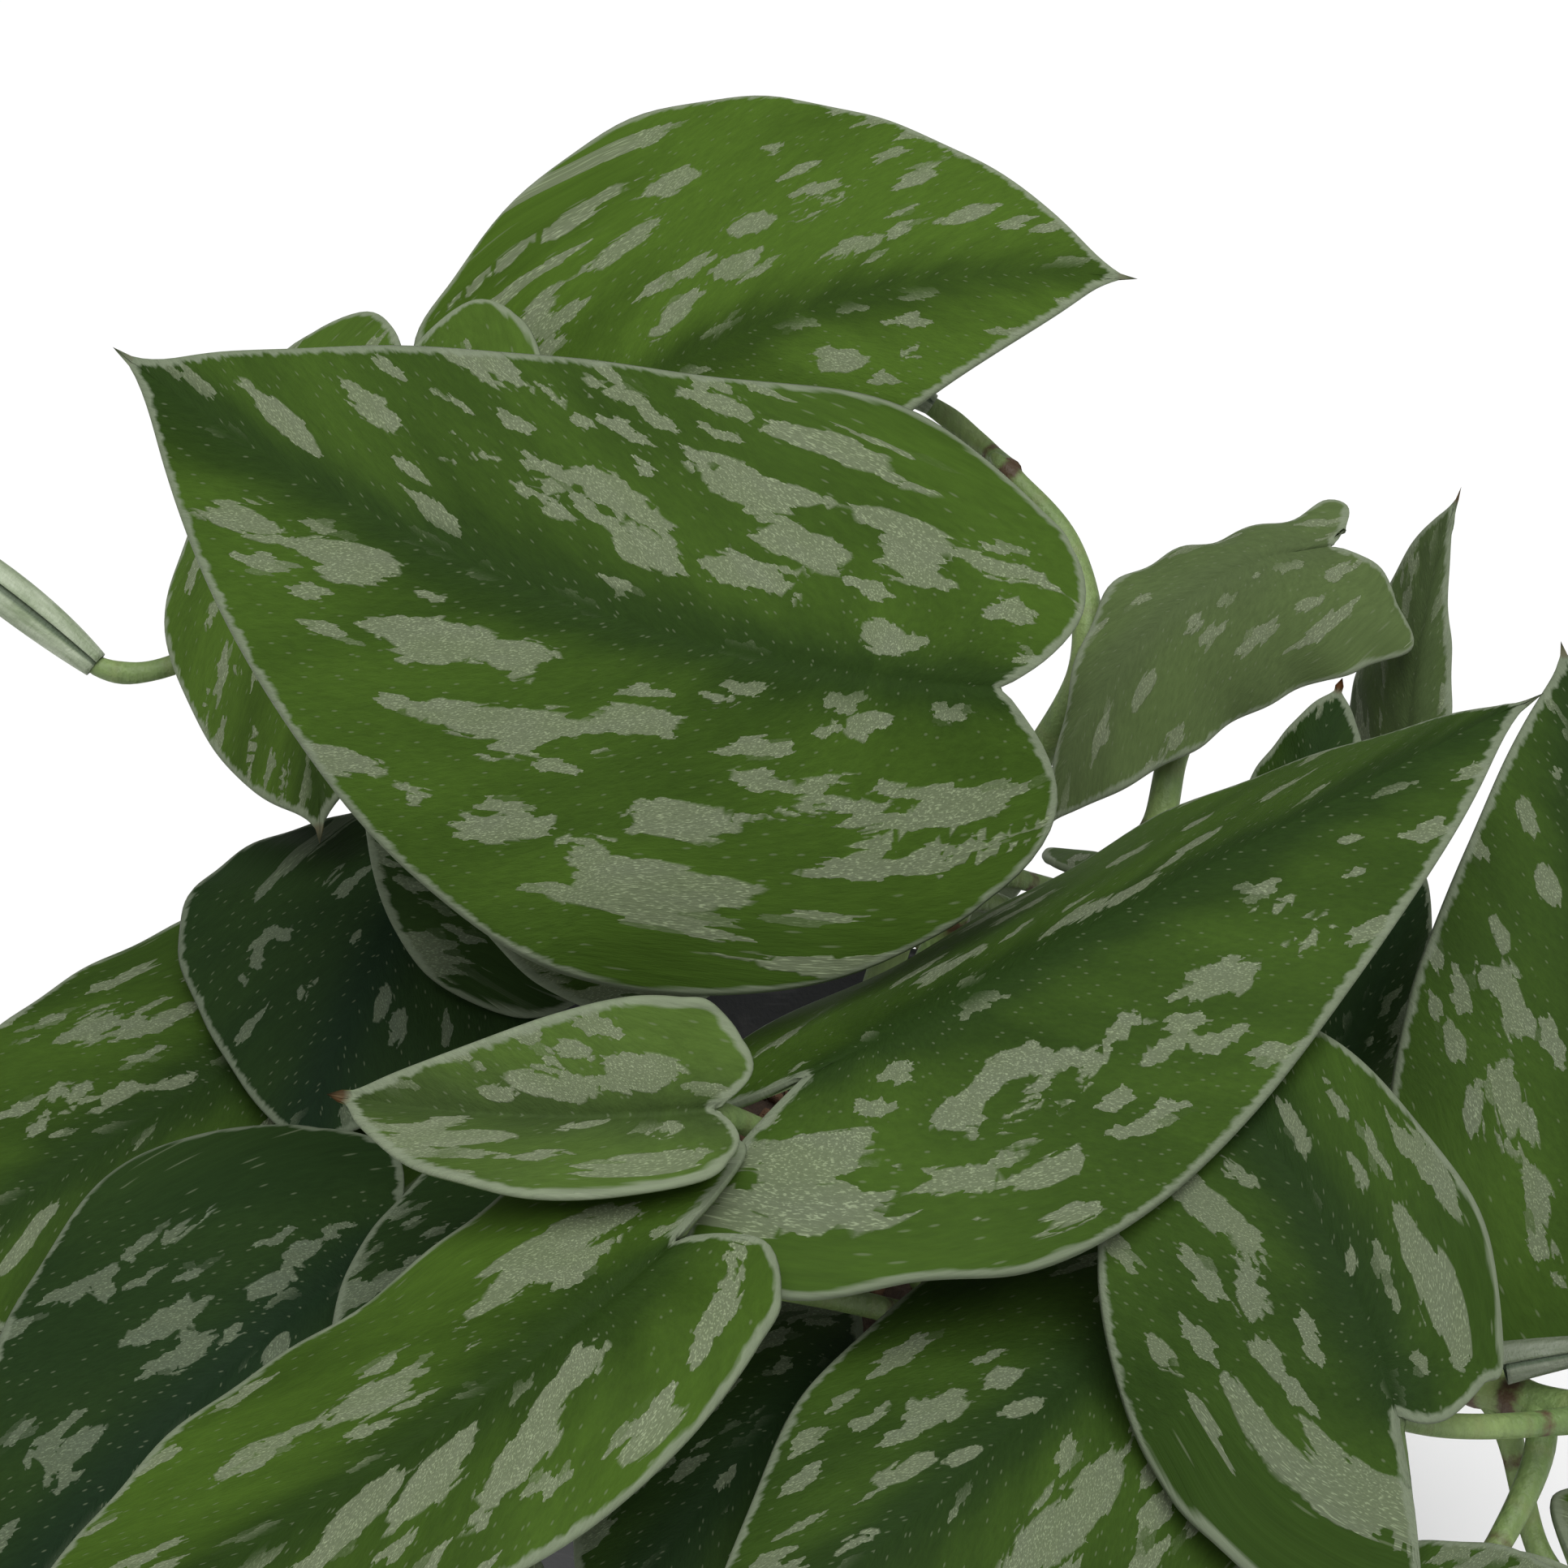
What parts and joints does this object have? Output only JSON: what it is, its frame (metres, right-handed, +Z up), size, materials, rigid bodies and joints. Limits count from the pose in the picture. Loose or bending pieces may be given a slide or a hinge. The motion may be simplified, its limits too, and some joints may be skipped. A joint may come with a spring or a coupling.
{
  "type": "potted plant",
  "caption": "Bushy satin pothos with silver-blotched heart-shaped leaves on arching stems, rooted in soil in a plain tapered pot that stands on a flat base.",
  "frame": {"origin": "centre of the pot's flat underside", "axes": "+Z up along the pot's axis; -Y is the side the largest crown leaf faces; +X is to the right of a person looking at that side"},
  "size_m": [0.2464, 0.2381, 0.2335],
  "materials": {
    "pot": "satin moulded plastic, charcoal",
    "soil": "loose potting mix",
    "stem": "smooth living stem, olive green",
    "leaf": "leathery leaf, satin, silver blotches on green",
    "young_leaf": "pale rolled leaf, satin"
  },
  "bodies": {
    "root": {"pot": "pot", "soil": "soil", "stem_centre": "stem", "stem_left": "stem", "stem_front_left": "stem", "stem_front": "stem", "stem_front_right": "stem", "stem_right": "stem", "stem_back_left": "stem", "stem_back_right": "stem", "leaf_crown_front": "leaf", "leaf_crown_back": "leaf", "leaf_left_upper": "leaf", "leaf_left_shaded": "leaf", "leaf_left_outer": "leaf", "leaf_left_front": "leaf", "leaf_left_inner": "leaf", "leaf_front_long": "leaf", "leaf_front_young": "young_leaf", "leaf_right_long": "leaf", "leaf_right_front": "leaf", "leaf_right_outer": "leaf", "leaf_right_back": "leaf", "leaf_right_tall": "leaf", "leaf_right_small": "leaf", "leaf_right_inner": "leaf", "leaf_front_low": "leaf", "leaf_front_shaded": "leaf", "leaf_centre_shaded": "leaf", "leaf_centre_under": "leaf", "leaf_right_low": "leaf", "leaf_skirt_front_left": "leaf", "leaf_skirt_front": "leaf", "leaf_skirt_front_right": "leaf", "leaf_skirt_left": "leaf", "leaf_skirt_back_left": "leaf", "leaf_back_left": "leaf", "leaf_back_middle": "leaf", "leaf_back_inner": "leaf", "leaf_skirt_back": "leaf", "leaf_skirt_back_middle": "leaf", "leaf_skirt_back_right": "leaf", "leaf_skirt_right": "leaf", "leaf_skirt_right_front": "leaf", "leaf_inner_right": "leaf", "leaf_inner_middle": "leaf", "leaf_back_right": "leaf", "leaf_back_inner_left": "leaf", "leaf_left_back": "leaf", "rolled_leaf_left": "young_leaf", "rolled_leaf_right": "young_leaf", "rolled_leaf_back": "young_leaf"}
  },
  "joints": []
}
